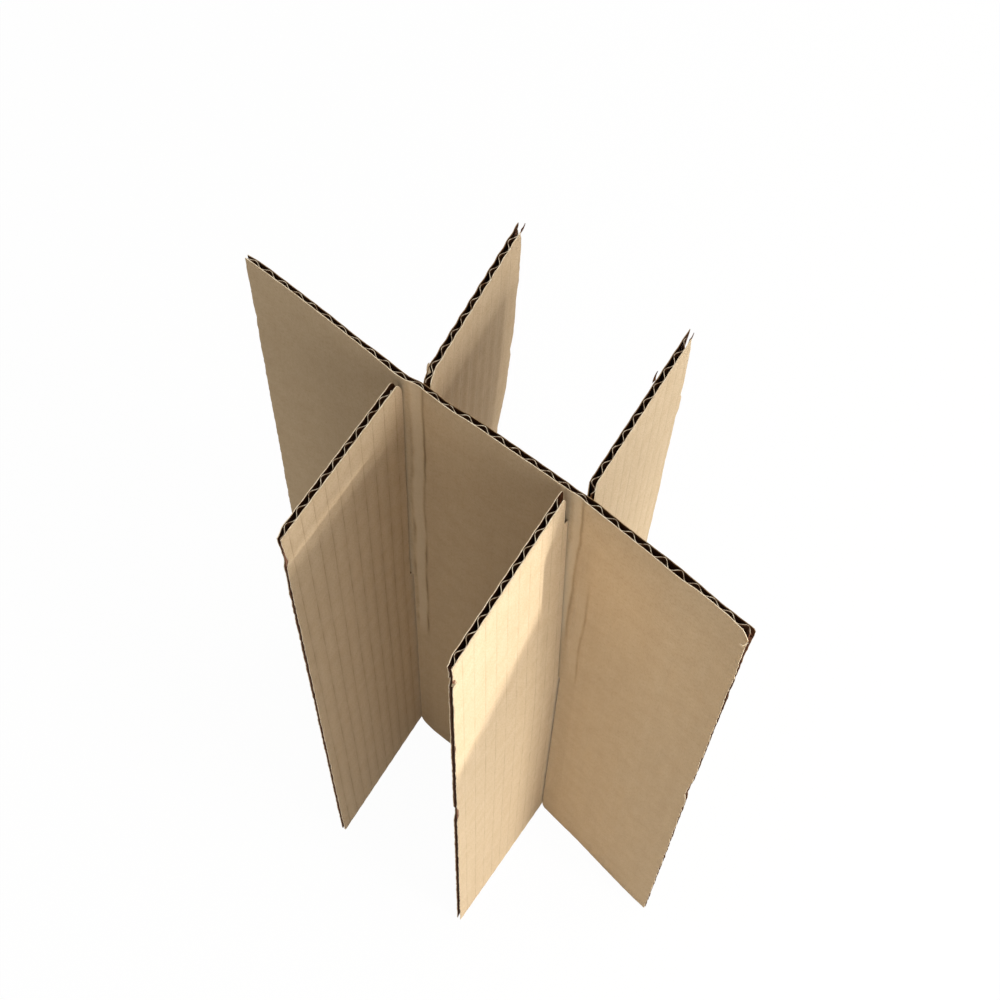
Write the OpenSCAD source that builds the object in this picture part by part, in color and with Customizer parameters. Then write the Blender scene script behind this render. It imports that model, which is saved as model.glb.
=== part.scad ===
// Six-cell bottle divider: one long sheet of corrugated board and two cross
// sheets, slotted half way into each other so that the set stands by itself.
// Lengths are in millimetres. X runs along the long sheet, Y across it and Z
// up from the table. The flutes of every sheet stand upright.

/* [Sheets] */
// Width of the two cells at the left end of the long sheet
left_cell_w = 80.7; // [70:0.1:110]
// Width of the two cells between the cross sheets
middle_cell_w = 85.5; // [60:0.1:100]
// Width of the two cells at the right end of the long sheet
right_cell_w = 80.7; // [70:0.1:110]
// Length of each cross sheet
cross_l = 165; // [120:1:200]
// Height of all three sheets
sheet_h = 372; // [200:1:420]
// Height at which the slots of two crossing sheets meet
meeting_h = 196; // [60:1:199]

/* [Corrugated board] */
// Thickness of the board
board_t = 3.3; // [2.6:0.1:4.2]
// Distance from one flute to the next
flute_pitch = 7.75; // [6:0.05:9]
// Thickness of each flat outer liner
liner_t = 0.35; // [0.25:0.05:0.5]
// Thickness of the wavy paper between the liners
medium_t = 0.3; // [0.2:0.05:0.4]
// Width of the glue line where the wavy paper meets a liner
glue_w = 1.6; // [1:0.1:2.4]

/* [Slots] */
// Steepest angle off square at which a slot still lets the other sheet pass
slot_angle = 38; // [36:1:45]
// Room left in a slot beside the board at that angle
slot_clearance = 0.3; // [0.2:0.1:1.5]
// Gap between the ends of two slots that meet
slot_end_gap = 0.8; // [0.4:0.1:3]
// Radius of the rounded corners at the mouth of a slot
mouth_r = 3.5; // [1.5:0.1:3.7]

/* [Stance of the long sheet] */
// Heading of the long sheet along the left cells
left_heading = -0.6; // [-3:0.1:3]
// Heading of the long sheet along the middle cells
middle_heading = 3.2; // [-4:0.1:4]
// Heading of the long sheet along the right cells
right_heading = -2; // [-3:0.1:3]

/* [Stance of the cross sheets] */
// Length of the straight run in which a cross sheet is slotted
slotted_run = 15; // [14.8:0.1:20]
// Angle off square of the left cross sheet's near wing
left_near_angle = 8.9; // [0:0.1:15]
// Angle off square of its slotted run
left_run_angle = 7.5; // [0:0.1:15]
// Angle off square of its far wing
left_far_angle = 6.2; // [0:0.1:15]
// Angle off square of the right cross sheet's near wing
right_near_angle = 5.2; // [0:0.1:15]
// Angle off square of its slotted run
right_run_angle = 7.1; // [0:0.1:15]
// Angle off square of its far wing
right_far_angle = 9.1; // [0:0.1:15]

/* [Hidden] */
// What a cutter runs past the surface that it opens
over = 1;
// Straight pieces that make one wave of the medium
wave_steps = 8;
slot_w = board_t * (1 + sin(slot_angle)) / cos(slot_angle) + slot_clearance;
half_core = board_t / 2 - liner_t;
wave_height = half_core - medium_t / 2;
half_middle = middle_cell_w / 2;
long_middle = [(left_cell_w - right_cell_w) / 2, 0];
long_ends = [-half_middle - left_cell_w, half_middle + right_cell_w];
long_turns = [left_heading, middle_heading, right_heading];
left_crossing = long_middle - half_middle * heading(middle_heading);
right_crossing = long_middle + half_middle * heading(middle_heading);
cross_ends = [-cross_l / 2, cross_l / 2];
left_turns = [left_near_angle, left_run_angle, left_far_angle];
right_turns = [right_near_angle, right_run_angle, right_far_angle];

// Unit vector at an angle from X
function heading(angle) = [cos(angle), sin(angle)];

// Centre line of a sheet with a bend on each side of its middle, by the
// distance from there. The three turns are the headings of its three runs.
function bent_line(s, bend, turns) =
    s < -bend ? -bend * heading(turns[1]) + (s + bend) * heading(turns[0])
        : s > bend ? bend * heading(turns[1]) + (s - bend) * heading(turns[2])
        : s * heading(turns[1]);

// Heading of the sheet there, halved between both runs at a bend itself
function turn_at(s, bend, turns) =
    s < -bend ? turns[0]
        : s == -bend ? (turns[0] + turns[1]) / 2
        : s < bend ? turns[1]
        : s == bend ? (turns[1] + turns[2]) / 2
        : turns[2];

// How much further out a corner lies where two runs meet
function mitre(s, bend, turns) =
    s == -bend ? 1 / cos((turns[0] - turns[1]) / 2)
        : s == bend ? 1 / cos((turns[1] - turns[2]) / 2)
        : 1;

// Point at a distance along the sheet and an offset across its thickness
function board_point(s, across, bend, turns) =
    bent_line(s, bend, turns)
        + across * mitre(s, bend, turns) * heading(turn_at(s, bend, turns) + 90);

// Offset of the medium's centre across the thickness
function wave(s) = wave_height * cos(360 * s / flute_pitch);

// Half thickness of the medium measured across the board, larger on a slope
function half_medium(s) =
    let(slope = wave_height * sin(360 * s / flute_pitch) * 2 * PI / flute_pitch)
    medium_t / 2 * sqrt(1 + slope * slope);

// Whether a flute that starts there stays clear of both bends
function stays_open(start, bend) =
    len([for (b = [-bend, bend]) if (b > start && b < start + flute_pitch) b]) == 0;

// Full section of the board, seen from above
module board_outline(ends, bend, turns) {
    stops = [ends[0], -bend, bend, ends[1]];
    polygon(concat(
        [for (s = stops) board_point(s, -board_t / 2, bend, turns)],
        [for (i = [3:-1:0]) board_point(stops[i], board_t / 2, bend, turns)]
    ));
}

// One hollow flute between the medium and the liner on the given side
module flute(start, side, bend, turns) {
    span = flute_pitch - glue_w;
    steps = [for (i = [0:wave_steps]) start + glue_w / 2 + span * i / wave_steps];
    wave_side = [for (s = steps)
        board_point(s, wave(s) + side * half_medium(s), bend, turns)];
    liner_side = [for (s = [steps[wave_steps], steps[0]])
        board_point(s, side * half_core, bend, turns)];
    polygon(concat(wave_side, liner_side));
}

// Section of the board. A flute that a bend runs through is pressed shut.
module fluted_section(ends, bend, turns) {
    difference() {
        board_outline(ends, bend, turns);
        for (i = [floor(ends[0] / flute_pitch) - 1 : ceil(ends[1] / flute_pitch)])
            for (side = [-1, 1]) {
                start = (i + (1 - side) / 4) * flute_pitch;
                if (stays_open(start, bend))
                    flute(start, side, bend, turns);
            }
    }
}

// A whole upright sheet before its slots are cut
module sheet(ends, bend, turns) {
    linear_extrude(height = sheet_h)
        fluted_section(ends, bend, turns);
}

// Corner that rounds off the mouth of a slot, in the plane of the sheet
module mouth_corner() {
    difference() {
        translate([-over, -over])
            square([mouth_r + over, mouth_r + over]);
        translate([mouth_r, mouth_r])
            circle(r = mouth_r, $fn = 48);
    }
}

// Outline of a slot that opens downward, with its mouth at zero height
module slot_outline(depth) {
    translate([-slot_w / 2, -over])
        square([slot_w, depth + over]);
    translate([slot_w / 2, 0])
        mouth_corner();
    translate([-slot_w / 2, 0])
        mirror([1, 0])
            mouth_corner();
}

// Cutter for a slot that opens at the foot of a run lying along X
module foot_slot(depth) {
    reach = board_t / 2 + over;
    translate([0, reach, 0])
        rotate([90, 0, 0])
            linear_extrude(height = 2 * reach)
                slot_outline(depth);
}

// Long sheet, slotted from below at both crossings
module long_divider() {
    color("#a98e6a")
        difference() {
            translate(long_middle)
                sheet(long_ends, half_middle, long_turns);
            for (crossing = [left_crossing, right_crossing])
                translate(crossing)
                    rotate([0, 0, middle_heading])
                        foot_slot(meeting_h + slot_end_gap / 2);
        }
}

// Cross sheet, slotted from above in its middle
module cross_divider(crossing, turns) {
    translate(crossing)
        rotate([0, 0, 90])
            difference() {
                sheet(cross_ends, slotted_run / 2, turns);
                translate([0, 0, sheet_h])
                    mirror([0, 0, 1])
                        rotate([0, 0, turns[1]])
                            foot_slot(sheet_h - meeting_h + slot_end_gap / 2);
            }
}

module cross_divider_left() {
    color("#b59a74")
        cross_divider(left_crossing, left_turns);
}

module cross_divider_right() {
    color("#c9ae88")
        cross_divider(right_crossing, right_turns);
}

long_divider();
cross_divider_left();
cross_divider_right();
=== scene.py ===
import math

import bpy
import numpy as np
from mathutils import Matrix, Vector, noise
from mathutils.geometry import delaunay_2d_cdt


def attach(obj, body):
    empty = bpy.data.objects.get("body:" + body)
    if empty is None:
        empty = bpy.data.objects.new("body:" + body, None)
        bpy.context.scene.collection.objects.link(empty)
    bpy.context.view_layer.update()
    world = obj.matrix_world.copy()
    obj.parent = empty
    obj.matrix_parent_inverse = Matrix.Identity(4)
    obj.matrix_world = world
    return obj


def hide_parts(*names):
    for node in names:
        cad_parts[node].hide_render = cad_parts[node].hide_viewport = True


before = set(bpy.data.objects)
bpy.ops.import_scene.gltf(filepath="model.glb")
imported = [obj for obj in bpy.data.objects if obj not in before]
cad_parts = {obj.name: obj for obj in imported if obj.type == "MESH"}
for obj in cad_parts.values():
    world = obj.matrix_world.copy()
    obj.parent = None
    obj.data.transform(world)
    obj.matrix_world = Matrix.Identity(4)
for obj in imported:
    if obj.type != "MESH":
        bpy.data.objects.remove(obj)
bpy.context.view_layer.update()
print("frame loaded:", sorted(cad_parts))

# Lengths below are in millimetres, and only placed meshes are in metres.
# On every sheet s runs along it from its middle, z is the height and d goes
# across the board, positive towards its back liner.
mm = 0.001
sheetHeight = 372.0
slotEnd = 196.0


# small helpers

def mix(a, b, t):
    return a + (b - a) * t


def ramp(x, x0, x1):
    t = min(max((x - x0) / (x1 - x0), 0.0), 1.0)
    return t * t * (3 - 2 * t)


def along(points, x):
    # straight lines between given (x, value) points
    if x <= points[0][0]:
        return points[0][1]
    for (x0, v0), (x1, v1) in zip(points, points[1:]):
        if x <= x1:
            return mix(v0, v1, (x - x0) / (x1 - x0))
    return points[-1][1]


def wobble(x, y, seed, size):
    return noise.noise(Vector((x / size, y / size, seed * 7.31)))


def toLinear(hexColour, alpha=1.0):
    values = [int(hexColour[i:i + 2], 16) / 255 for i in (1, 3, 5)]
    linear = [v / 12.92 if v <= 0.04045 else ((v + 0.055) / 1.055) ** 2.4 for v in values]
    return (*linear, alpha)


def smoothed(line, x, width):
    return (line(x - width) + 2 * line(x) + line(x + width)) / 4


# the long sheet

longSheet = {
    "halfLength": 123.3,
    "pitch": 7.75,
    "phases": [(-80, 4.8), (0, 4.5), (80, 3.9)],
    # front and back liner along the top edge, as (x, y)
    "frontTop": [(-124, -2.4), (-100, -2.1), (-78, -2.4), (-57, -2.9), (-43, -3.6), (-40, -3.3),
                 (-37, -2.5), (-34, -1.9), (-17, -1.9), (-8, -0.9), (10, -0.2), (20, 0.3), (36, 0.9),
                 (42, 1.3), (50, 0.9), (62, 0.5), (76, 0.1), (90, -0.7), (99, -0.2), (113, -0.9),
                 (124, -2.6)],
    "backTop": [(-124, -0.5), (-116, 0.3), (-100, 0.2), (-80, 0.0), (-64, -0.6), (-54, -0.4),
                (-43, -0.8), (-39, -0.9), (-36, 0.0), (-33, 0.5), (-27, 0.6), (-22, 0.2), (-16, 0.6),
                (-10, 1.6), (0, 2.2), (13, 2.7), (27, 3.1), (36, 3.4), (41, 3.3), (47, 4.0), (58, 3.4),
                (70, 3.1), (86, 3.0), (97, 2.3), (107, 1.5), (124, 1.2)],
    # front liner along the lower edge
    "frontFoot": [(-124, -5.6), (-80, -5.2), (-60, -4.6), (-44, -4.3), (-36.6, -5.4), (-33, -6.0),
                  (-17.6, -5.7), (0, -4.6), (30, -1.6), (44, 0.2), (48, 0.1), (50.7, -0.5), (72, -2.5),
                  (89.5, -4.8), (108, -7.1), (121.6, -8.4), (124, -8.5)],
    "boardAtFoot": 2.8,
    # centre of each slot and how far it reaches left and right of that
    "slots": [(-42.68, 3.5, 2.3), (42.68, 3.5, 2.3)],
    "mouths": [(5.0, 4.0), (3.0, 7.0)],
    # depth of the soft waves that the flutes press into the liners
    "washboard": 0.05,
    # how much of the board's thickness is lost along its pressed ends
    "pressedShare": 0.5,
}
# how far each liner's broad dents go and how wide they are
dentDepth = 0.12
dentSize = 80


def longLine(s, z):
    # centre line of the long sheet and the thickness of its board there
    foot = 1 - z / sheetHeight
    front = smoothed(lambda x: along(longSheet["frontTop"], x), s, 2.2)
    back = smoothed(lambda x: along(longSheet["backTop"], x), s, 2.2)
    frontFoot = smoothed(lambda x: along(longSheet["frontFoot"], x), s, 5)
    front = mix(front, frontFoot, foot)
    back = mix(back, frontFoot + longSheet["boardAtFoot"], foot)
    # the board is pressed thin along both ends, except at its top corners
    nearEnd = ramp(abs(s), longSheet["halfLength"] - 5, longSheet["halfLength"])
    pressed = nearEnd * ramp(sheetHeight - z, 4, 16)
    back -= longSheet["pressedShare"] * (back - front) * pressed
    return (s, (front + back) / 2), back - front


# the cross sheets

# Each wing runs straight from its outer end to a point beside the long sheet.
# Above the slots the ends beside the long sheet are pushed along it.
crossSheets = {
    "left": {
        "pitch": 7.75,
        "phases": (1.2, 5.0),
        "nearOuterTop": (-29.7, -83.3), "nearOuterFoot": (-30.5, -81.9),
        "nearInnerTop": (-41.3, -4.3), "nearInnerFoot": (-42.22, -5.86),
        "farBendTop": (-34.3, 6.3), "farInnerTop": (-31.2, 1.2),
        "farInnerFoot": (-43.14, 1.08), "farBendFoot": (-43.9, 7.2),
        "farOuterTop": (-51.0, 79.2), "farOuterFoot": (-51.5, 78.6),
        "farBow": [(0, -10.5), (204, -8.6), (246, -4.4), (296, -1.9), (350, -0.2), (372, 0)],
        "faceHalf": 1.1, "backHalf": 1.9, "pressed": 1.1,
        # depth of the near and the far wing's soft waves
        "washboard": (0.08, 0.17),
        # across and down of the slot's top corner, and how far the fluting
        # stays behind that edge
        "slotCorner": (4.4, 11.0), "flutingBack": 5.6,
        # how far the back liner's outer top corner sticks out
        "backTip": 2.4,
        # how far the outer ends stand beyond the sheet's length, by height
        "outerNear": [(0.0, 372.0), (0.7, 362.0), (0.9, 356.0), (1.6, 351.5), (0.5, 347.0),
                      (0.2, 330.0), (0.0, 256.0), (-0.4, 141.0), (-0.7, 0.0)],
        "outerFar": [(0.0, 0.0), (-0.6, 150.0), (-0.6, 262.0), (0.0, 276.0), (-1.9, 283.0),
                     (-0.3, 289.0), (0.0, 303.0), (-0.8, 322.0), (0.0, 335.0), (-0.4, 348.0),
                     (0.0, 358.0), (-0.8, 366.0), (-2.6, 372.0)],
    },
    "right": {
        "pitch": 7.75,
        "phases": (0.6, 2.9),
        "nearOuterTop": (50.3, -80.8), "nearOuterFoot": (51.3, -78.9),
        "nearInnerTop": (37.4, -0.5), "nearInnerFoot": (43.11, -1.08),
        "farBendTop": (42.8, 9.0), "farInnerTop": (45.6, 5.0),
        "farInnerFoot": (42.25, 5.86), "farBendFoot": (41.5, 12.0),
        "farOuterTop": (30.9, 82.6), "farOuterFoot": (30.0, 83.0),
        "farBow": [(0, 0), (372, 0)],
        "faceHalf": 1.1, "backHalf": 1.9, "pressed": 0.8,
        "washboard": (0.08, 0.08),
        "slotCorner": (2.0, 4.0), "flutingBack": 3.6,
        "backTip": 3.8,
        "outerNear": [(0.0, 372.0), (0.8, 364.0), (0.6, 360.5), (1.9, 358.0), (1.7, 355.0),
                      (0.4, 352.0), (0.3, 290.0), (0.9, 286.0), (0.3, 280.0), (0.4, 205.0),
                      (1.6, 199.0), (1.4, 191.0), (0.3, 184.0), (0.2, 60.0), (0.0, 0.0)],
        "outerFar": [(0.0, 0.0), (-0.8, 199.0), (0.3, 249.0), (-0.3, 268.0), (0.6, 300.0),
                     (0.2, 312.0), (2.0, 316.0), (1.8, 325.0), (0.4, 329.0), (1.4, 338.0),
                     (0.6, 350.0), (0.4, 364.0), (-1.0, 372.0)],
    },
}
halfCross = 82.5
halfSlot = 3.5
bendAt = 9.7


def crossLine(sheet, s, z):
    # centre line of a cross sheet
    foot = 1 - z / sheetHeight
    above = max(z - slotEnd, 0) / (sheetHeight - slotEnd)

    def point(name, t):
        top, low = Vector(sheet[name + "Top"]), Vector(sheet[name + "Foot"])
        return low.lerp(top, t)

    if s <= 0:
        outer = point("nearOuter", 1 - foot)
        inner = point("nearInner", above)
        t = (s + halfCross) / (halfCross - halfSlot)
        straight = outer.lerp(inner, t)
        if z >= slotEnd or s < -halfSlot:
            return straight
        return inner.lerp(point("farInner", 0), (s + halfSlot) / (2 * halfSlot))
    outer = point("farOuter", 1 - foot)
    bend = point("farBend", above)
    inner = point("farInner", above)

    bow = along(sheet["farBow"], z)

    def far(x):
        if x < bendAt:
            return inner.lerp(bend, (x - halfSlot) / (bendAt - halfSlot))
        t = (x - bendAt) / (halfCross - bendAt)
        return bend.lerp(outer, t) + Vector((bow * t ** 1.5, 0))

    if z < slotEnd and s < halfSlot:
        return point("nearInner", 0).lerp(inner, (s + halfSlot) / (2 * halfSlot))
    return smoothed(far, s, 2.4)


# outlines

def raggedLine(points, seed, amount, step=1.6):
    # adds fine tears to a line of (s, z) corner points
    out = []
    for (s0, z0), (s1, z1) in zip(points, points[1:]):
        count = max(1, int(math.hypot(s1 - s0, z1 - z0) / step))
        for k in range(count):
            t = k / count
            s, z = mix(s0, s1, t), mix(z0, z1, t)
            shift = amount * (wobble(z, s, seed, 3.1) + 0.8 * wobble(z, s, seed + 3, 9.0))
            length = math.hypot(s1 - s0, z1 - z0)
            out.append((s + shift * (z1 - z0) / length, z - shift * (s1 - s0) / length))
    return out


def evenLine(points, step=5.0):
    out = []
    for (s0, z0), (s1, z1) in zip(points, points[1:]):
        count = max(1, int(math.hypot(s1 - s0, z1 - z0) / step))
        out += [(mix(s0, s1, k / count), mix(z0, z1, k / count)) for k in range(count)]
    return out


def arc(centre, radius, start, end, count=6):
    out = []
    for k in range(count + 1):
        a = math.radians(mix(start, end, k / count))
        out.append((centre[0] + radius[0] * math.cos(a), centre[1] + radius[1] * math.sin(a)))
    return out


def longOutline(seed, amount, cornerCut):
    # runs round the sheet with its two slots open at the foot
    half = longSheet["halfLength"]
    out = raggedLine([(half + 1.2, 0.0), (half + 0.7, 120.0), (half + 0.2, 186.0), (half - 0.8, 193.0),
                      (half - 0.6, 203.0), (half + 0.2, 212.0), (half, sheetHeight - cornerCut - 0.6),
                      (half - cornerCut, sheetHeight)], seed, amount)
    out += evenLine([(half - cornerCut, sheetHeight), (-half - 0.3, sheetHeight)], 1.3)
    out += raggedLine([(-half - 0.3, sheetHeight), (-half - 0.1, 336.0), (-half + 0.5, 331.0),
                       (-half - 0.2, 326.0), (-half - 0.4, 150.0), (-half, 0.0)], seed + 1, amount)
    for (centre, leftHalf, rightHalf), (mouthW, mouthH) in zip(longSheet["slots"], longSheet["mouths"]):
        left, right = centre - leftHalf, centre + rightHalf
        out += evenLine([(out[-1][0], 0.0), (left - mouthW, 0.0)], 3.0)
        out += arc((left - mouthW, mouthH), (mouthW, mouthH), -90, 0)
        out += evenLine([(left, mouthH), (left, slotEnd), (right, slotEnd), (right, mouthH)], 3.0)
        out += arc((right + mouthW, mouthH), (mouthW, mouthH), 180, 270)
        out.append((right + mouthW, 0.0))
    out += evenLine([(out[-1][0], 0.0), (half, 0.0)], 3.0)
    return out


def crossOutline(outerNear, outerFar, seed, amount, cutNear, cutFar, corner):
    # runs round a cross sheet with its slot open at the top
    out = raggedLine([(halfCross + e, z) for e, z in outerFar], seed, amount)
    out += evenLine([(out[-1][0], sheetHeight), (halfSlot + 1.0, sheetHeight)], 1.3)
    out += evenLine([(halfSlot + cutFar(z), z) for z in (sheetHeight, 330.0, 300.0, 260.0, 230.0,
                                                         slotEnd + 4)], 2.0)
    out += evenLine([(halfSlot, slotEnd), (-halfSlot, slotEnd)], 2.0)
    across, down = corner
    edge = [(-halfSlot + cutNear(z), z) for z in (slotEnd, 230.0, 262.0, 300.0, 338.0, 349.6, 350.6,
                                                  sheetHeight - down)]
    out += evenLine(edge, 2.0)
    last = edge[-1][0]
    out += arc((last - across, sheetHeight - down), (across, down), 0, 90, 6)
    out += evenLine([(last - across, sheetHeight), (-halfCross, sheetHeight)], 1.3)
    out += raggedLine([(-halfCross + e, z) for e, z in outerNear], seed + 1, amount)
    out += evenLine([(-halfCross, 0.0), (halfCross, 0.0)], 3.0)
    return out


def cleaned(outline, least=0.15):
    out = []
    for p in outline:
        if not out or math.dist(p, out[-1]) > least:
            out.append(p)
    if math.dist(out[0], out[-1]) <= least:
        out.pop()
    return out


def insideOutline(outline, points):
    # whether each point lies inside the outline, by counting the edges to its right
    s, z = points[:, 0], points[:, 1]
    hits = np.zeros(len(points), bool)
    for (s0, z0), (s1, z1) in zip(outline, outline[1:] + outline[:1]):
        if z0 != z1:
            hits ^= ((z0 > z) != (z1 > z)) & (s < (s1 - s0) * (z - z0) / (z1 - z0) + s0)
    return hits


def triangulated(outline, columns, rows, margin=0.7):
    # the outline's points plus a grid inside it, joined to triangles
    outline = cleaned(outline)
    grid = np.array([(s, z) for z in rows for s in columns])
    grid = grid[insideOutline(outline, grid)]
    border = np.array(outline)
    clear = [np.min(np.hypot(border[:, 0] - s, border[:, 1] - z)) > margin for s, z in grid]
    points = [Vector(p) for p in outline] + [Vector(p) for p in grid[clear]]
    count = len(outline)
    edges = [(k, (k + 1) % count) for k in range(count)]
    verts, _, faces, _, _, _ = delaunay_2d_cdt(points, edges, [], 0, 1e-6, True)
    corners = np.array([(v.x, v.y) for v in verts])
    faces = np.array(faces)
    faces = faces[insideOutline(outline, corners[faces].mean(axis=1))]
    return [tuple(c) for c in corners], [tuple(int(v) for v in f) for f in faces]


# meshes

def newPiece(name, verts, faces, uvs, wearAndShade, materials, slots, sharp=50):
    # wear darkens the paper along crease lines, partly a real crease and partly painted shade (1), and
    # lightens it where rubbed (-1)
    mesh = bpy.data.meshes.new(name)
    mesh.from_pydata([(x * mm, y * mm, z * mm) for x, y, z in verts], [], faces)
    uvLayer = mesh.uv_layers.new(name="sheetUV")
    for loop in mesh.loops:
        u, v = uvs[loop.vertex_index]
        uvLayer.data[loop.index].uv = (u * mm, v * mm)
    mesh.attributes.new("wearAndShade", "FLOAT", "POINT").data.foreach_set("value", wearAndShade)
    for material in materials:
        mesh.materials.append(material)
    for polygon, slot in zip(mesh.polygons, slots):
        polygon.use_smooth = True
        polygon.material_index = slot
    mesh.set_sharp_from_angle(angle=math.radians(sharp))
    piece = bpy.data.objects.new(name, mesh)
    bpy.context.scene.collection.objects.link(piece)
    return piece


def normalOf(line, s, z, step=0.6):
    a, b = line(s - step, z), line(s + step, z)
    dx, dy = b[0] - a[0], b[1] - a[1]
    length = math.hypot(dx, dy)
    return -dy / length, dx / length


def linerMesh(name, line, across, relief, wearAndShadeAt, outline, columns, rows, side, paper, material, bareFrom,
              darkFrom):
    # a sheet of paper with both its faces, on one side of the board
    points, triangles = triangulated(outline, columns, rows)
    outer, inner = [], []
    for s, z in points:
        x, y = line(s, z)
        nx, ny = normalOf(line, s, z)
        d = across(s, z) * side + relief(s, z)
        outer.append((x + nx * d, y + ny * d, z))
        d -= side * paper
        inner.append((x + nx * d, y + ny * d, z))
    count = len(points)
    verts = outer + inner
    faces, slots = [], []
    borders = {}
    for a, b, c in triangles:
        # the triangles wind one way in (s, z), which faces the front liner
        front = (a, b, c) if side < 0 else (a, c, b)
        faces.append(front)
        faces.append(tuple(v + count for v in reversed(front)))
        # the inner face is laid bare along the sheet's outer ends
        bare = abs(points[a][0]) > bareFrom and points[a][1] < sheetHeight - 6
        slots += [0, 3 if bare else 2]
        for e in zip(front, front[1:] + front[:1]):
            borders[e] = borders.get(e, 0) + 1
    for (a, b) in list(borders):
        if (b, a) not in borders:
            faces.append((b, a, a + count, b + count))
            # back liners' cut edges take the darker painted-shade copy of the cut edge
            slots.append(4 if side > 0 and points[a][0] > darkFrom else 1)
    wearAndShade = [wearAndShadeAt(s, z) for s, z in points] * 2
    # the inner face is near-black painted shade, except along the bare outer ends
    materials = (material, cutEdge, innerShadePaper, bareEndPaper, shadedCutBackEdge)
    return newPiece(name, verts, faces, points + points, wearAndShade, materials, slots)


# materials

def addNode(tree, kind, settings=None, links=None):
    # settings go to the node's own values or, by name or number, its inputs
    node = tree.nodes.new(kind)
    for key, value in (settings or {}).items():
        if isinstance(key, str) and hasattr(node, key):
            setattr(node, key, value)
        else:
            node.inputs[key].default_value = value
    for key, source in (links or {}).items():
        tree.links.new(source, node.inputs[key])
    return node


def newMaterial(name):
    material = bpy.data.materials.new(name)
    material.use_nodes = True
    tree = material.node_tree
    tree.nodes.clear()
    output = addNode(tree, "ShaderNodeOutputMaterial")
    return material, tree, output


kraftPaper = {
    "glueLine": "#7E6241",
    "fibre": "#94784F",
    # painted shade mixed with a real crease, used along the crushed strips' borders
    "creaseAndShade": "#4E3719",
    "rubbed": "#DCCBAE",
    "speck": "#6E5333",
    # sizes of the clouds of pulp, the fibres and the grain
    "pulpMm": 9.0,
    "fibreMm": 0.7,
    "grainMm": 1.5,
    "pitchMm": 7.75,
    "specksEveryMm": 38.0,
    # the glue lines stray this far over this length, and fade in and out
    "lineStray": 0.8,
    "lineBendMm": 70.0,
    "lineGapMm": 16.0,
}


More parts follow.
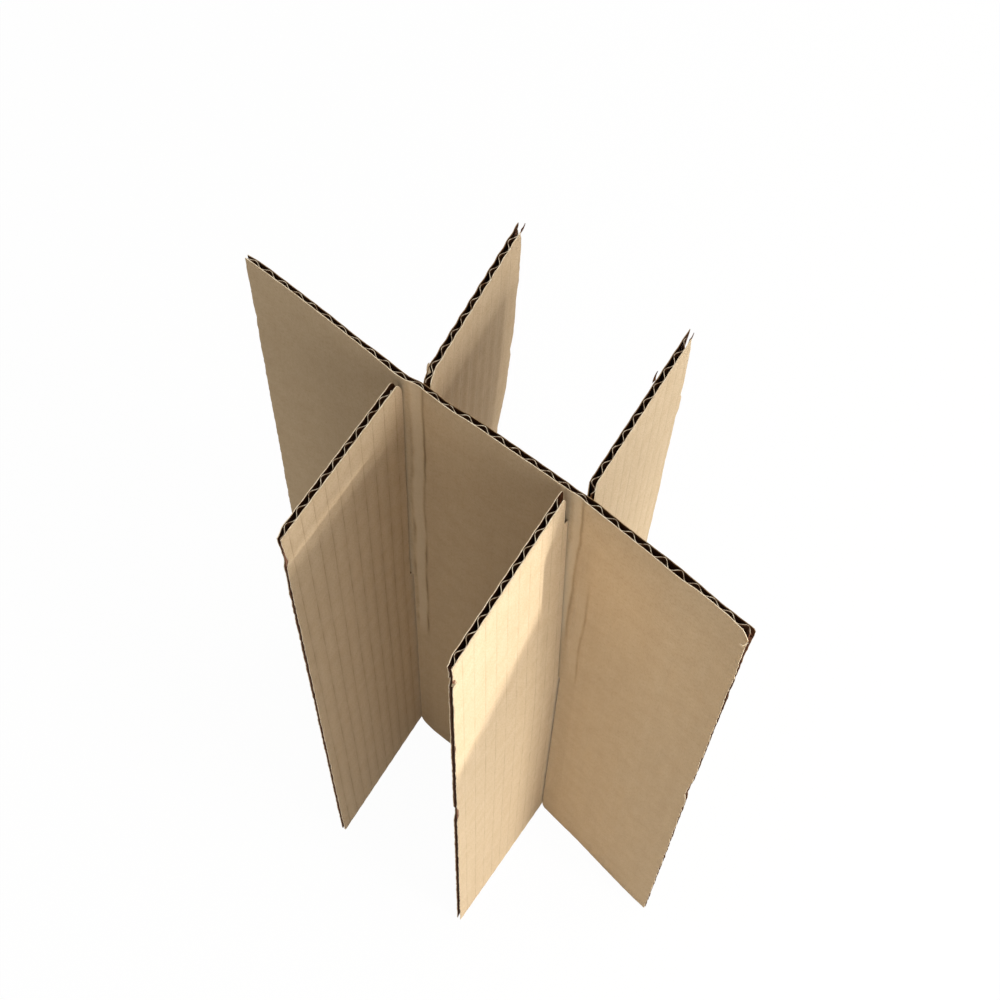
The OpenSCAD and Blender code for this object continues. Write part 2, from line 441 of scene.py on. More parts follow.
def kraftLiner(name, nearLine, farLine, lineStrength, tint):
    # Unbleached kraft liner, pressed and glued to the flutes: dull brown paper
    # with a fine slanting grain, faint clouds of pulp and a dark hairline where
    # each flute is glued on. The two wings of a sheet have lines of their own.
    material, tree, output = newMaterial(name)
    uv = addNode(tree, "ShaderNodeUVMap", {"uv_map": "sheetUV"}).outputs["UV"]
    wearAndShade = addNode(tree, "ShaderNodeAttribute", {"attribute_name": "wearAndShade"}).outputs["Fac"]

    clouds = addNode(tree, "ShaderNodeTexNoise", {"Scale": 1000 / kraftPaper["pulpMm"], "Detail": 5.0,
                                                  "Roughness": 0.65}, {"Vector": uv})
    slant = addNode(tree, "ShaderNodeMapping", {"Rotation": (0, 0, math.radians(-38))}, {"Vector": uv})
    stretch = addNode(tree, "ShaderNodeMapping", {"Scale": (1.0, 0.45, 1.0)},
                      {"Vector": slant.outputs["Vector"]})
    fibres = addNode(tree, "ShaderNodeTexNoise", {"Scale": 1000 / kraftPaper["fibreMm"], "Detail": 3.0,
                                                  "Roughness": 0.7}, {"Vector": stretch.outputs["Vector"]})
    grain = addNode(tree, "ShaderNodeTexNoise", {"Scale": 1000 / kraftPaper["grainMm"], "Detail": 3.0,
                                                 "Roughness": 0.6}, {"Vector": stretch.outputs["Vector"]})

    def mixed(factor, under, colour):
        blend = addNode(tree, "ShaderNodeMix", {"data_type": "RGBA"})
        tree.links.new(factor, blend.inputs["Factor"])
        tree.links.new(under, blend.inputs["A"])
        blend.inputs["B"].default_value = toLinear(colour)
        return blend.outputs["Result"]

    base = addNode(tree, "ShaderNodeValToRGB", links={"Fac": clouds.outputs["Fac"]})
    base.color_ramp.elements[0].position = 0.35
    base.color_ramp.elements[0].color = toLinear(tint[0])
    base.color_ramp.elements[1].position = 0.65
    base.color_ramp.elements[1].color = toLinear(tint[1])
    fibreMask = addNode(tree, "ShaderNodeMapRange", {"From Min": 0.46, "From Max": 0.74, "To Max": 0.42},
                        {"Value": fibres.outputs["Fac"]})
    paper = mixed(fibreMask.outputs["Result"], base.outputs["Color"], kraftPaper["fibre"])

    split = addNode(tree, "ShaderNodeSeparateXYZ", links={"Vector": uv})
    isFar = addNode(tree, "ShaderNodeMath", {"operation": "GREATER_THAN", 1: 0.0}, {0: split.outputs["X"]})
    lineAt = addNode(tree, "ShaderNodeMath", {"operation": "MULTIPLY_ADD", 1: (nearLine - farLine) * mm,
                                              2: -nearLine * mm}, {0: isFar.outputs[0]})
    bend = addNode(tree, "ShaderNodeTexNoise", {"Scale": 1000 / kraftPaper["lineBendMm"], "Detail": 2.0},
                   {"Vector": uv})
    bent = addNode(tree, "ShaderNodeMath", {"operation": "MULTIPLY_ADD", 1: kraftPaper["lineStray"] * mm},
                   {0: bend.outputs["Fac"], 2: split.outputs["X"]})
    shifted = addNode(tree, "ShaderNodeMath", {"operation": "ADD"},
                      {0: bent.outputs[0], 1: lineAt.outputs[0]})
    turns = addNode(tree, "ShaderNodeMath", {"operation": "MULTIPLY_ADD",
                                             1: 1000 / kraftPaper["pitchMm"], 2: 0.45},
                    {0: shifted.outputs[0]})
    within = addNode(tree, "ShaderNodeMath", {"operation": "FRACT"}, {0: turns.outputs[0]})
    lineMask = addNode(tree, "ShaderNodeValToRGB", links={"Fac": within.outputs[0]})
    lineMask.color_ramp.elements[0].color = (0, 0, 0, 1)
    lineMask.color_ramp.elements[1].color = (0, 0, 0, 1)
    for position, value in ((0.455, 0.0), (0.485, 1.0), (0.51, 0.7), (0.56, 0.12), (0.75, 0.0)):
        step = lineMask.color_ramp.elements.new(position)
        step.color = (value, value, value, 1)
    broken = addNode(tree, "ShaderNodeTexNoise", {"Scale": 1000 / kraftPaper["lineGapMm"], "Detail": 4.0},
                     {"Vector": uv})
    fade = addNode(tree, "ShaderNodeMapRange", {"From Min": 0.34, "From Max": 0.62,
                                                "To Min": 0.15 * lineStrength, "To Max": lineStrength},
                   {"Value": broken.outputs["Fac"]})
    lineFade = addNode(tree, "ShaderNodeMath", {"operation": "MULTIPLY"},
                       {0: lineMask.outputs["Color"], 1: fade.outputs["Result"]})
    paper = mixed(lineFade.outputs[0], paper, kraftPaper["glueLine"])

    # shives, the odd dark speck that unbleached pulp keeps
    specks = addNode(tree, "ShaderNodeTexVoronoi", {"Scale": 1000 / kraftPaper["specksEveryMm"],
                                                    "Randomness": 1.0},
                     {"Vector": slant.outputs["Vector"]})
    speckMask = addNode(tree, "ShaderNodeMapRange", {"From Min": 0.009, "From Max": 0.02,
                                                     "To Min": 0.7, "To Max": 0.0},
                        {"Value": specks.outputs["Distance"]})
    paper = mixed(speckMask.outputs["Result"], paper, kraftPaper["speck"])

    # darkens towards the crease colour: painted shade along the crushed strips' borders, partly a real
    # crease
    creaseShadeMask = addNode(tree, "ShaderNodeMapRange", {"From Min": 0.0, "From Max": 1.0}, {"Value": wearAndShade})
    paper = mixed(creaseShadeMask.outputs["Result"], paper, kraftPaper["creaseAndShade"])
    rubbed = addNode(tree, "ShaderNodeMapRange", {"From Min": 0.0, "From Max": -1.0}, {"Value": wearAndShade})
    paper = mixed(rubbed.outputs["Result"], paper, kraftPaper["rubbed"])

    fibreBump = addNode(tree, "ShaderNodeBump", {"Strength": 0.25, "Distance": 0.00008},
                        {"Height": fibres.outputs["Fac"]})
    grainBump = addNode(tree, "ShaderNodeBump", {"Strength": 0.6, "Distance": 0.0001},
                        {"Height": grain.outputs["Fac"], "Normal": fibreBump.outputs["Normal"]})
    lineBump = addNode(tree, "ShaderNodeBump", {"Strength": 0.5, "Distance": 0.00015, "invert": True},
                       {"Height": lineFade.outputs[0], "Normal": grainBump.outputs["Normal"]})
    shader = addNode(tree, "ShaderNodeBsdfPrincipled", {"Roughness": 0.85, "IOR": 1.5},
                     {"Base Color": paper, "Normal": lineBump.outputs["Normal"]})
    shader.inputs["Specular IOR Level"].default_value = 0.15
    tree.links.new(shader.outputs["BSDF"], output.inputs["Surface"])
    return material


def roughPaper(name, dark, light, grainMm, specular):
    # plain paper that is only seen in the flutes' mouths and along cut edges
    material, tree, output = newMaterial(name)
    place = addNode(tree, "ShaderNodeTexCoord").outputs["Object"]
    fuzz = addNode(tree, "ShaderNodeTexNoise", {"Scale": 1000 / grainMm, "Detail": 3.0, "Roughness": 0.65},
                   {"Vector": place})
    base = addNode(tree, "ShaderNodeValToRGB", links={"Fac": fuzz.outputs["Fac"]})
    base.color_ramp.elements[0].position = 0.35
    base.color_ramp.elements[0].color = toLinear(dark)
    base.color_ramp.elements[1].position = 0.68
    base.color_ramp.elements[1].color = toLinear(light)
    bump = addNode(tree, "ShaderNodeBump", {"Strength": 0.5, "Distance": 0.0001},
                   {"Height": fuzz.outputs["Fac"]})
    shader = addNode(tree, "ShaderNodeBsdfPrincipled", {"Roughness": 0.92, "IOR": 1.5},
                     {"Base Color": base.outputs["Color"], "Normal": bump.outputs["Normal"]})
    shader.inputs["Specular IOR Level"].default_value = specular
    tree.links.new(shader.outputs["BSDF"], output.inputs["Surface"])
    return material


# Kraft board where a knife or a tear went through it: raw fibre ends, paler
# than the pressed faces and fully matte.
cutEdge = roughPaper("cutKraftEdge", "#C9B18E", "#F2E5CD", 1.5, 0.1)
cutMedium = roughPaper("cutFlutingEdge", "#6B4E35", "#EADCC2", 2.2, 0.1)
# The back liners' cut edge: a darker copy of the cut kraft edge, as painted shade.
shadedCutBackEdge = roughPaper("cutBackLinerEdgeShaded", "#6E5338", "#A78C69", 2.0, 0.1)
# The liners' inner face, coloured near-black as painted shade for the dark inside of the flutes.
innerShadePaper = roughPaper("innerLinerPaintedShade", "#3E2413", "#53331D", 2.5, 0.05)
# Fluting paper laid bare along the outer ends of the sheets: a lighter copy of the fluting and inner liner
# colours, which are darkened elsewhere as painted shade.
bareEndPaper = roughPaper("bareEndFluting", "#6E4A3A", "#8F6B52", 2.0, 0.1)
# Semi-chemical fluting paper, thinner than the liners; its dark brown is partly its own colour and partly
# painted shade for the flutes' dark hollows.
mediumPaperAndShade = roughPaper("flutingMediumAndShade", "#4A2D19", "#6B472B", 3.0, 0.1)
longPaper = kraftLiner("kraftLinerLongSheet", 4.0, 4.0, 0.06, ("#BCA484", "#C2AB8B"))
leftPaper = kraftLiner("kraftLinerLeftSheet", 7.55, 3.1, 0.5, ("#C0A98A", "#C7B193"))
rightPaper = kraftLiner("kraftLinerRightSheet", 1.7, 3.0, 0.36, ("#CBB595", "#D2BD9F"))
print("materials made")


# liners

linerPaper = 0.3
tearDepth = 0.35
bareEnd = 4  # the width along each outer end where the liner's inner face is bare
columnsPerFlute = 6
rowStep = 4.0


def gridLines(start, end, step):
    count = max(1, round((end - start) / step))
    return [mix(start, end, k / count) for k in range(count + 1)]


rows = gridLines(0, sheetHeight, rowStep)[1:-1]


# Strips of the long sheet's front that the cross sheets crushed, by their four
# borders along s and the heights between which they show
crushedStrips = [
    # dark paints shade along each strip's borders, partly a real crease; pale is the crushed paper's own
    # paler colour
    {"borders": (-39.4, -37.6, -33.2, -31.6), "low": 138, "high": 500,
     "depth": 0.22, "pale": 0.34, "dark": 0.5},
    {"borders": (39.2, 41.0, 43.8, 45.4), "low": 245, "high": 500,
     "depth": 0.2, "pale": 0.34, "dark": 0.3},
    {"borders": (46.8, 48.4, 52.0, 53.6), "low": 204, "high": 318,
     "depth": 0.2, "pale": 0.16, "dark": 0.16},
]
stripMargin = 1.5
stripStep = 0.4


def stripShare(strip, s, z):
    # how far inside a crushed strip a point is, and how near one of its borders
    a, b, c, d = strip["borders"]
    s += 1.1 * wobble(z, 3 * a, 5, 34) + 0.4 * wobble(z, 3 * a, 6, 9)
    shown = ramp(z, strip["low"] - 10, strip["low"] + 14)
    shown *= 1 - ramp(z, strip["high"] - 30, strip["high"])
    inside = ramp(s, a, b) * (1 - ramp(s, c, d))
    left = math.exp(-((s - (a + b) / 2) / 0.8) ** 2) * (0.6 + 0.8 * wobble(z, a, 13, 18))
    right = math.exp(-((s - (c + d) / 2) / 0.8) ** 2) * (0.9 + 0.8 * wobble(z, d, 14, 18))
    return inside * shown, (left + right) * shown


def longWashboard(s):
    turns = (s - along(longSheet["phases"], s)) / longSheet["pitch"]
    return longSheet["washboard"] * math.cos(2 * math.pi * turns)


def longFrontRelief(s, z):
    # soft washboard and the crushed strips beside each cross sheet
    d = longWashboard(s) + dentDepth * wobble(s, z, 11, dentSize)
    for strip in crushedStrips:
        inside, border = stripShare(strip, s, z)
        d += strip["depth"] * (inside + 0.6 * border)
    return d


def longFrontWearAndShade(s, z):
    # painted shade, partly a real crease, along the strips' borders, and a paler crushed middle
    wearAndShade = 0.0
    for strip in crushedStrips:
        inside, border = stripShare(strip, s, z)
        wearAndShade += strip["dark"] * border - strip["pale"] * inside
    return max(min(wearAndShade, 1.0), -1.0)


def longBackRelief(s, z):
    return longWashboard(s) + dentDepth * wobble(s, z, 12, dentSize)


def noWear(s, z):
    return 0.0


def longAcross(s, z):
    return longLine(s, z)[1] / 2


def longCentre(s, z):
    return longLine(s, z)[0]


half = longSheet["halfLength"]
longColumns = gridLines(-half, half, longSheet["pitch"] / columnsPerFlute)[1:-1]
for strip in crushedStrips:
    first, last = strip["borders"][0] - stripMargin, strip["borders"][-1] + stripMargin
    longColumns = [s for s in longColumns if not first < s < last]
    longColumns += gridLines(first, last, stripStep)
longFront = linerMesh("longSheetFrontLiner", longCentre, longAcross, longFrontRelief, longFrontWearAndShade,
                      longOutline(21, tearDepth, 3.4), longColumns, rows, -1, linerPaper, longPaper,
                      half - bareEnd, -half)
longBack = linerMesh("longSheetBackLiner", longCentre, longAcross, longBackRelief, noWear,
                     longOutline(22, tearDepth, 0.8), longColumns, rows, 1, linerPaper, longPaper,
                     half - bareEnd, -half)
print("long sheet's liners made")


def backHalf(sheet, s):
    # the outer ends of the board are pressed a little thinner
    return sheet["backHalf"] - sheet["pressed"] * ramp(-s, halfCross - 5, halfCross)


def crossPieces(key, side, seed, material):
    sheet = crossSheets[key]
    nearPhase, farPhase = sheet["phases"]

    def line(s, z):
        return crossLine(sheet, s, z)

    def across(s, z):
        return sheet["faceHalf"] if side < 0 else backHalf(sheet, s)

    def relief(s, z):
        phase = nearPhase if s < 0 else farPhase
        height = sheet["washboard"][1 if s > 0 else 0]
        d = height * math.cos(2 * math.pi * (s - phase) / sheet["pitch"])
        return d + dentDepth * wobble(s, z, seed, dentSize)

    def cutNear(z):
        if key == "left":
            return 0.2 + 0.35 * wobble(z, 0, 9, 14)
        # the right sheet's front liner is torn back above a step
        torn = 2.6 * ramp(z, 349.6, 350.6) if side < 0 else 0.0
        return 0.9 + 0.3 * wobble(z, 0, 8, 12) - torn

    def cutFar(z):
        return 0.2 + 0.3 * wobble(z, 0, seed, 20)

    far = sheet["outerFar"]
    if side > 0:
        # the back liner's outer top corner sticks out past the front one
        tip = sheet["backTip"]
        far = far[:-2] + [(far[-3][0], 362.0), (tip - 1.0, 370.0), (tip - 1.2, sheetHeight)]
    outline = crossOutline(sheet["outerNear"], far, seed, tearDepth, cutNear, cutFar, sheet["slotCorner"])
    columns = gridLines(-halfCross, halfCross, sheet["pitch"] / columnsPerFlute)[1:-1]
    name = "crossSheet" + key.capitalize() + ("RightLiner" if side < 0 else "LeftLiner")
    return linerMesh(name, line, across, relief, noWear, outline, columns, rows, side, linerPaper,
                     material, halfCross - bareEnd, 0.0)


curlParts = 8
curlHalfPaper = 0.14


def tornCurl(name, root, tip, lift, breadth, material):
    # a narrow strip of torn paper that curves from its root to its tip
    root, tip, lift, breadth = Vector(root), Vector(tip), Vector(lift), Vector(breadth)
    middle = (root + tip) / 2 + lift
    count = curlParts
    verts, faces = [], []
    for k in range(count + 1):
        t = k / count
        place = root * (1 - t) ** 2 + middle * 2 * t * (1 - t) + tip * t ** 2
        heading = (middle - root) * (1 - t) + (tip - middle) * t
        up = heading.cross(breadth).normalized() * curlHalfPaper
        wide = breadth * (0.5 - 0.32 * t)
        verts += [place - wide - up, place + wide - up, place + wide + up, place - wide + up]
    for k in range(count):
        for j in range(4):
            a, b = 4 * k, 4 * k + 4
            faces.append((a + j, a + (j + 1) % 4, b + (j + 1) % 4, b + j))
    faces += [(3, 2, 1, 0), tuple(4 * count + j for j in range(4))]
    uvs = [(v.x, v.z) for v in verts]
    return newPiece(name, verts, faces, uvs, [0.0] * len(verts), (material,), [0] * len(faces))


# The front liner (side -1) of a cross sheet faces +X, where the camera stands
leftFace = crossPieces("left", -1, 31, leftPaper)
leftBack = crossPieces("left", 1, 32, leftPaper)
rightFace = crossPieces("right", -1, 41, rightPaper)
rightBack = crossPieces("right", 1, 42, rightPaper)
# Torn paper, by its root, its tip, how far its middle is lifted and its breadth
curls = {
    "crossSheetLeftTip": ((-50.3, 78.6, 370.6), (-50.9, 81.8, 371.6), (0.4, 0, 0), (0, 0.4, 2.2)),
    "crossSheetLeftFlap": ((-34.6, 5.4, 370.8), (-37.6, 8.6, 371.4), (-0.8, 0, 0.4), (0.6, 1.6, 0.8)),
    "crossSheetRightTip": ((31.4, 81.6, 370.4), (30.9, 85.0, 371.6), (0.4, 0, 0), (0, 0.4, 2.2)),
    "crossSheetRightFlap": ((32.4, 58.4, 371.2), (30.9, 62.4, 371.8), (-0.5, 0, 0), (0.3, 1.6, 0.5)),
    "crossSheetRightShred": ((51.0, -80.4, 356.0), (52.4, -79.4, 359.0), (0.7, -0.4, 0), (0, 0.6, 1.8)),
    "longSheetCornerCurl": ((123.4, -3.0, 367.2), (121.2, -4.2, 365.8), (0.4, -1.3, -0.5),
                            (0.3, 0.2, 1.4)),
}
curlPapers = {
    "crossSheetLeftTip": mediumPaperAndShade, "crossSheetLeftFlap": leftPaper,
    "crossSheetRightTip": mediumPaperAndShade, "crossSheetRightFlap": mediumPaperAndShade,
    "crossSheetRightShred": rightPaper, "longSheetCornerCurl": cutEdge,
}
curlPieces = {name: tornCurl(name, *curls[name], curlPapers[name]) for name in curls}
print("cross sheets' liners made")


# fluting, by Geometry Nodes

def flutingTree():
    # moves a flat sheet to a wave across the board and gives it the paper's thickness
    tree = bpy.data.node_groups.new("flutedPaper", "GeometryNodeTree")
    tree.interface.new_socket("Geometry", in_out="INPUT", socket_type="NodeSocketGeometry")
    for label in ("Pitch", "Paper"):
        tree.interface.new_socket(label, in_out="INPUT", socket_type="NodeSocketFloat")
    tree.interface.new_socket("Material", in_out="INPUT", socket_type="NodeSocketMaterial")
    tree.interface.new_socket("Geometry", in_out="OUTPUT", socket_type="NodeSocketGeometry")
    inputs = addNode(tree, "NodeGroupInput")
    outputs = addNode(tree, "NodeGroupOutput")
    phase = addNode(tree, "GeometryNodeInputNamedAttribute", {"data_type": "FLOAT", "Name": "runAlong"})
    across = addNode(tree, "GeometryNodeInputNamedAttribute",
                     {"data_type": "FLOAT_VECTOR", "Name": "acrossBoard"})
    turns = addNode(tree, "ShaderNodeMath", {"operation": "DIVIDE"},
                    {0: phase.outputs["Attribute"], 1: inputs.outputs["Pitch"]})
    angle = addNode(tree, "ShaderNodeMath", {"operation": "MULTIPLY", 1: 2 * math.pi}, {0: turns.outputs[0]})
    wave = addNode(tree, "ShaderNodeMath", {"operation": "COSINE"}, {0: angle.outputs[0]})
    offset = addNode(tree, "ShaderNodeVectorMath", {"operation": "SCALE"},
                     {0: across.outputs["Attribute"], "Scale": wave.outputs[0]})
    moved = addNode(tree, "GeometryNodeSetPosition", links={"Geometry": inputs.outputs["Geometry"],
                                                            "Offset": offset.outputs[0]})
    grown = addNode(tree, "GeometryNodeExtrudeMesh", {"mode": "FACES", "Individual": False},
                    {"Mesh": moved.outputs["Geometry"], "Offset Scale": inputs.outputs["Paper"]})
    turned = addNode(tree, "GeometryNodeFlipFaces", links={"Mesh": moved.outputs["Geometry"]})
    both = addNode(tree, "GeometryNodeJoinGeometry")
    tree.links.new(grown.outputs["Mesh"], both.inputs[0])
    tree.links.new(turned.outputs["Mesh"], both.inputs[0])
    merged = addNode(tree, "GeometryNodeMergeByDistance", {"Distance": 1e-6},
                     {"Geometry": both.outputs["Geometry"]})
    real = addNode(tree, "GeometryNodeRealizeInstances", links={"Geometry": merged.outputs["Geometry"]})
    coated = addNode(tree, "GeometryNodeSetMaterial", links={"Geometry": real.outputs["Geometry"],
                                                             "Material": inputs.outputs["Material"]})
    tree.links.new(coated.outputs["Geometry"], outputs.inputs[0])
    return tree


flutedPaper = flutingTree()
mediumThickness = 0.24
glueGap = 0.03
columnsPerWave = 12
mediumRowStep = 14.0


def mediumMesh(name, line, frontAt, backAt, phaseOf, spans, pitch, isEnd):
    # spans are rectangles (s0, s1, z0, z1) of the sheet that join along shared edges
    # and frontAt and backAt give the liners' outer faces across the board
    index = {}
    verts, faces, runs, normals = [], [], [], []

    def vertex(s, z):
        key = (round(s, 3), round(z, 3))
        if key not in index:
            x, y = line(s, z)
            nx, ny = normalOf(line, s, z)
            front, back = frontAt(s, z) + linerPaper, backAt(s, z) - linerPaper
            amplitude = max((back - front - mediumThickness) / 2 - glueGap, glueGap)
            middle = (front + back) / 2
            index[key] = len(verts)
            verts.append((x + nx * middle, y + ny * middle, z))
            runs.append((s - phaseOf(s)) * mm)
            normals.append((nx * amplitude * mm, ny * amplitude * mm, 0.0))
        return index[key]

    for s0, s1, z0, z1 in spans:
        columns = gridLines(s0, s1, pitch / columnsPerWave)
        heights = gridLines(z0, z1, mediumRowStep)
        for a, b in zip(columns, columns[1:]):
            for low, high in zip(heights, heights[1:]):
                faces.append((vertex(a, low), vertex(b, low), vertex(b, high), vertex(a, high)))
    mesh = bpy.data.meshes.new(name + "Flat")
    mesh.from_pydata([(x * mm, y * mm, z * mm) for x, y, z in verts], [], faces)
    mesh.attributes.new("runAlong", "FLOAT", "POINT").data.foreach_set("value", runs)
    flat = [c for n in normals for c in n]
    mesh.attributes.new("acrossBoard", "FLOAT_VECTOR", "POINT").data.foreach_set("vector", flat)
    flatPiece = bpy.data.objects.new(name + "Flat", mesh)
    bpy.context.scene.collection.objects.link(flatPiece)
    modifier = flatPiece.modifiers.new("flutes", "NODES")
    modifier.node_group = flutedPaper
    sockets = {item.name: item.identifier for item in flutedPaper.interface.items_tree
               if item.in_out == "INPUT"}
    modifier[sockets["Pitch"]] = pitch * mm
    modifier[sockets["Paper"]] = mediumThickness * mm
    modifier[sockets["Material"]] = mediumPaperAndShade
    graph = bpy.context.evaluated_depsgraph_get()
    wavy = bpy.data.meshes.new_from_object(flatPiece.evaluated_get(graph))
    wavy.name = name
    wavy.materials.clear()
    for material in (mediumPaperAndShade, cutMedium, bareEndPaper):
        wavy.materials.append(material)
    for polygon in wavy.polygons:
        polygon.use_smooth = True
        polygon.material_index = 2 if isEnd(polygon.center / mm) else 0
        if abs(polygon.normal.z) > 0.7:
            polygon.material_index = 1
    wavy.set_sharp_from_angle(angle=math.radians(50))
    piece = bpy.data.objects.new(name, wavy)
    bpy.context.scene.collection.objects.link(piece)
    bpy.data.objects.remove(flatPiece)
    return piece


# how far the fluting stays behind the liners' edges, foot and top
edgeBack = 0.5
mediumFoot = 0.3
mediumTop = sheetHeight - 0.1
leftSlot, rightSlot = longSheet["slots"]
spanStops = [(-half + edgeBack, leftSlot[0] - leftSlot[1] - edgeBack),
             (leftSlot[0] + leftSlot[2] + edgeBack, rightSlot[0] - rightSlot[1] - edgeBack),
             (rightSlot[0] + rightSlot[2] + edgeBack, half - edgeBack)]
longSpans = [(a, b, mediumFoot, slotEnd) for a, b in spanStops]
longSpans.append((-half + edgeBack, half - edgeBack, slotEnd, mediumTop))
longMedium = mediumMesh("longSheetFluting", longCentre,
                        lambda s, z: longFrontRelief(s, z) - longAcross(s, z),
                        lambda s, z: longBackRelief(s, z) + longAcross(s, z),
                        lambda s: along(longSheet["phases"], s), longSpans, longSheet["pitch"],
                        lambda place: abs(place.x) > half - 2.5)


def crossMedium(key):
    sheet = crossSheets[key]

    near, far = -halfCross + 0.7, halfCross - 1.0
    spans = [(near, far, mediumFoot, slotEnd),
             (near, -halfSlot - sheet["flutingBack"], slotEnd, mediumTop),
             (halfSlot + 0.8, far, slotEnd, mediumTop)]
    return mediumMesh("crossSheet" + key.capitalize() + "Fluting", lambda s, z: crossLine(sheet, s, z),
                      lambda s, z: -sheet["faceHalf"], lambda s, z: backHalf(sheet, s),
                      lambda s: mix(sheet["phases"][0], sheet["phases"][1], ramp(s, -halfSlot, halfSlot)),
                      spans, sheet["pitch"], lambda place: abs(place.y) > halfCross - 4.5)


leftMedium = crossMedium("left")
rightMedium = crossMedium("right")
print("fluting made")


# bodies: each sheet's pieces ride on its body, and the frame's own node for it is hidden

sheetPieces = {
    "long_divider": ("longSheet", "long_board", [longFront, longBack, longMedium]),
    "cross_divider_left": ("crossSheetLeft", "left_board", [leftFace, leftBack, leftMedium]),
    "cross_divider_right": ("crossSheetRight", "right_board", [rightFace, rightBack, rightMedium]),
}
for body, (sheetName, slot, pieces) in sheetPieces.items():
    pieces += [piece for name, piece in curlPieces.items() if name.startswith(sheetName)]
    for piece in pieces:
        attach(piece, body)
        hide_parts(body)


# floor, light and camera

stage = {
    "floorHalf": 3.0,
    "floorColour": "#F2F2F0",
    "floorGlow": 0.97,
    "skyColour": (1.0, 0.95, 0.88, 1),
    "skyStrength": 0.2,
}

# Lamps stand on a circle around the object: turn and rise in degrees, far,
# size and the height that they aim at in metres, power in watts.
lamps = {
    "windowLight": {"turn": 7.0, "rise": 20.0, "far": 1.8, "aimAt": 0.25, "power": 32.0, "size": 0.5,
                    "colour": (1.0, 0.98, 0.94)},
    "frontFill": {"turn": -40.0, "rise": 18.0, "far": 2.0, "aimAt": 0.2, "power": 10.5, "size": 1.3,
                  "colour": (1.0, 1.0, 1.0)},
    "rearFill": {"turn": 62.0, "rise": 30.0, "far": 2.0, "aimAt": 0.2, "power": 9.0, "size": 1.4,
                 "colour": (1.0, 0.98, 0.95)},
}
overhead = {"height": 2.2, "power": 23.0, "size": 1.5, "colour": (1.0, 1.0, 1.0)}

floorMesh = bpy.data.meshes.new("paleFloor")
size = stage["floorHalf"]
floorCorners = [(-size, -size, 0), (size, -size, 0), (size, size, 0), (-size, size, 0)]
floorMesh.from_pydata(floorCorners, [], [(0, 1, 2, 3)])
floor = bpy.data.objects.new("paleFloor", floorMesh)
bpy.context.scene.collection.objects.link(floor)
floorMaterial, tree, output = newMaterial("whiteStudioFloor")
plain = addNode(tree, "ShaderNodeBsdfDiffuse", {"Color": toLinear(stage["floorColour"])})
glow = addNode(tree, "ShaderNodeEmission", {"Color": (1, 1, 1, 1), "Strength": 1.0})
rays = addNode(tree, "ShaderNodeLightPath")
seen = addNode(tree, "ShaderNodeMath", {"operation": "MAXIMUM"},
               {0: rays.outputs["Is Camera Ray"], 1: rays.outputs["Is Glossy Ray"]})
seenToo = addNode(tree, "ShaderNodeMath", {"operation": "MAXIMUM"},
                  {0: seen.outputs[0], 1: rays.outputs["Is Transmission Ray"]})
share = addNode(tree, "ShaderNodeMath", {"operation": "MULTIPLY", 1: stage["floorGlow"]},
                {0: seenToo.outputs[0]})
blend = addNode(tree, "ShaderNodeMixShader")
tree.links.new(share.outputs[0], blend.inputs[0])
tree.links.new(plain.outputs[0], blend.inputs[1])
tree.links.new(glow.outputs[0], blend.inputs[2])
tree.links.new(blend.outputs[0], output.inputs["Surface"])
floorMesh.materials.append(floorMaterial)

world = bpy.data.worlds.new("studio")
bpy.context.scene.world = world
world.use_nodes = True
tree = world.node_tree
tree.nodes.clear()
output = addNode(tree, "ShaderNodeOutputWorld")
soft = addNode(tree, "ShaderNodeBackground", {"Color": stage["skyColour"], "Strength": stage["skyStrength"]})
white = addNode(tree, "ShaderNodeBackground", {"Color": (1, 1, 1, 1), "Strength": 1.0})
rays = addNode(tree, "ShaderNodeLightPath")
blend = addNode(tree, "ShaderNodeMixShader")
tree.links.new(rays.outputs["Is Camera Ray"], blend.inputs[0])
tree.links.new(soft.outputs[0], blend.inputs[1])
tree.links.new(white.outputs[0], blend.inputs[2])
tree.links.new(blend.outputs[0], output.inputs["Surface"])


def areaLight(name, place, target, power, size, colour):
    lamp = bpy.data.lights.new(name, "AREA")
    lamp.energy = power
    lamp.size = size
    lamp.color = colour
    holder = bpy.data.objects.new(name, lamp)
    holder.location = place
    holder.rotation_euler = (Vector(target) - Vector(place)).to_track_quat("-Z", "Y").to_euler()
    bpy.context.scene.collection.objects.link(holder)


def towards(turn, rise, far):
    turn, rise = math.radians(turn), math.radians(rise)
    return Vector((math.cos(rise) * math.cos(turn), math.cos(rise) * math.sin(turn), math.sin(rise))) * far


for name, lamp in lamps.items():
    aim = Vector((0, 0, lamp["aimAt"]))
    areaLight(name, aim + towards(lamp["turn"], lamp["rise"], lamp["far"]), aim, lamp["power"], lamp["size"],
              lamp["colour"])
areaLight("overhead", (0.0, 0.0, overhead["height"]), (0, 0, 0), overhead["power"], overhead["size"],
          overhead["colour"])

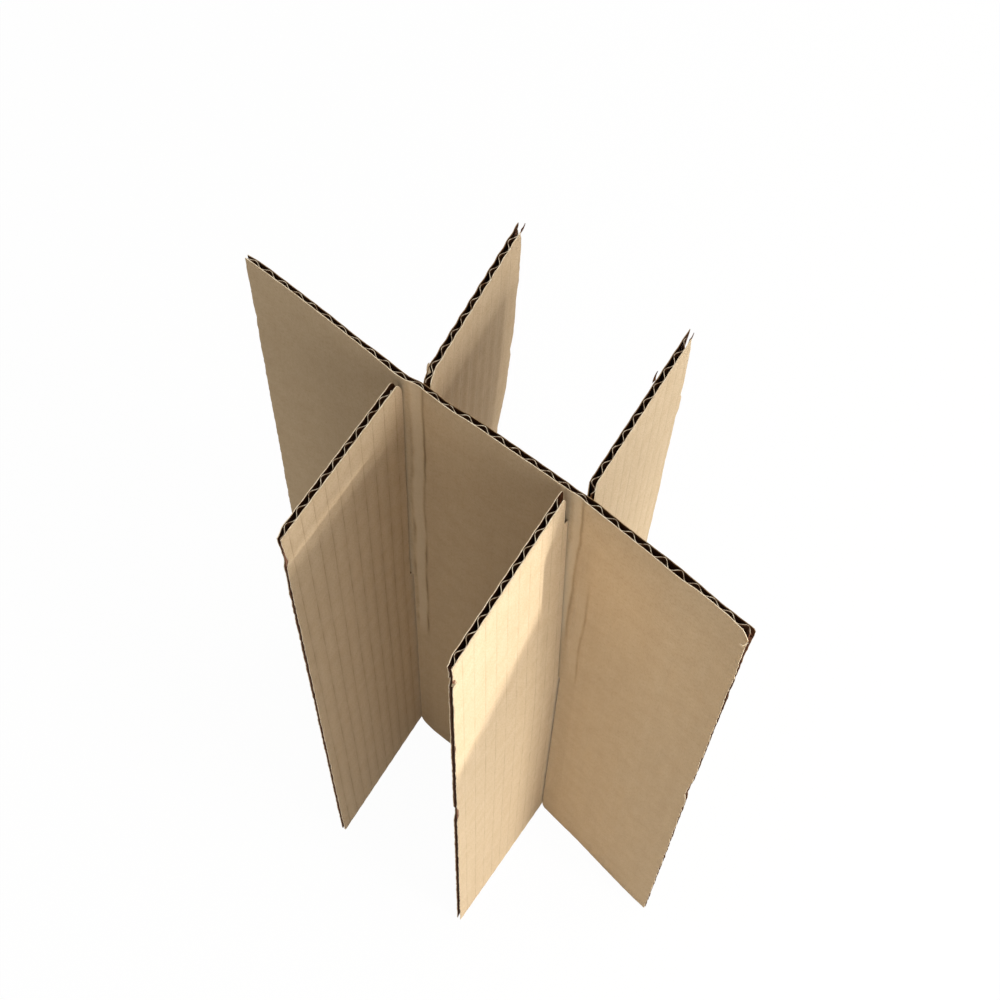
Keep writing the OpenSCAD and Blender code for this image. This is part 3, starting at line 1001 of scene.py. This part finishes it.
# A narrow beam through a cut card lights the upper part of the nearest wing.
patch = {
    "corners": ((52.7, -88, 240), (40.7, -12, 304), (40.7, -12, 373), (52.7, -88, 373)),
    "turn": 11.0, "rise": 19.0, "far": 1.8,
    "power": 96.0, "colour": (1.0, 0.98, 0.93),
    "lampRadius": 0.008, "coneAngle": 6.0, "coneBlend": 0.1,
    "cardShare": 0.5, "cardHalf": 0.11,
}
patchCorners = [Vector(corner) * mm for corner in patch["corners"]]
patchMiddle = sum(patchCorners, Vector()) / 4
beamPlace = patchMiddle + towards(patch["turn"], patch["rise"], patch["far"])
beam = bpy.data.lights.new("patchBeam", "SPOT")
beam.energy = patch["power"]
beam.color = patch["colour"]
beam.shadow_soft_size = patch["lampRadius"]
beam.spot_size = math.radians(patch["coneAngle"])
beam.spot_blend = patch["coneBlend"]
beamHolder = bpy.data.objects.new("patchBeam", beam)
beamHolder.location = beamPlace
beamHolder.rotation_euler = (patchMiddle - beamPlace).to_track_quat("-Z", "Y").to_euler()
bpy.context.scene.collection.objects.link(beamHolder)
cardMiddle = patchMiddle.lerp(beamPlace, patch["cardShare"])
inner = [corner.lerp(beamPlace, patch["cardShare"]) for corner in patchCorners]
outer = [cardMiddle + Vector((0, y, z)) * patch["cardHalf"] for y, z in ((-1, -1), (1, -1), (1, 1), (-1, 1))]
cardMesh = bpy.data.meshes.new("cutCard")
cardMesh.from_pydata(inner + outer, [], [(k, (k + 1) % 4, 4 + (k + 1) % 4, 4 + k) for k in range(4)])
card = bpy.data.objects.new("cutCard", cardMesh)
bpy.context.scene.collection.objects.link(card)
card.visible_camera = False
card.visible_diffuse = False
card.visible_glossy = False

bpy.context.scene.view_settings.view_transform = "Standard"

photoCamera = {
    "place": (0.201756, -0.248343, 0.940673),
    "lens": 62.68,
    "shift": (0.02273, 0.09228),
    "turn": 39.732,
    "tilt": 24.157,
    "roll": 0.855,
}
cameraData = bpy.data.cameras.new("photoCamera")
cameraData.sensor_width = 36
cameraData.lens = photoCamera["lens"]
cameraData.shift_x, cameraData.shift_y = photoCamera["shift"]
camera = bpy.data.objects.new("photoCamera", cameraData)
camera.matrix_world = (Matrix.Translation(photoCamera["place"])
                       @ Matrix.Rotation(math.radians(photoCamera["turn"]), 4, "Z")
                       @ Matrix.Rotation(math.radians(photoCamera["tilt"]), 4, "X")
                       @ Matrix.Rotation(math.radians(photoCamera["roll"]), 4, "Z"))
bpy.context.scene.collection.objects.link(camera)
bpy.context.scene.camera = camera
print("floor, lights and camera placed")
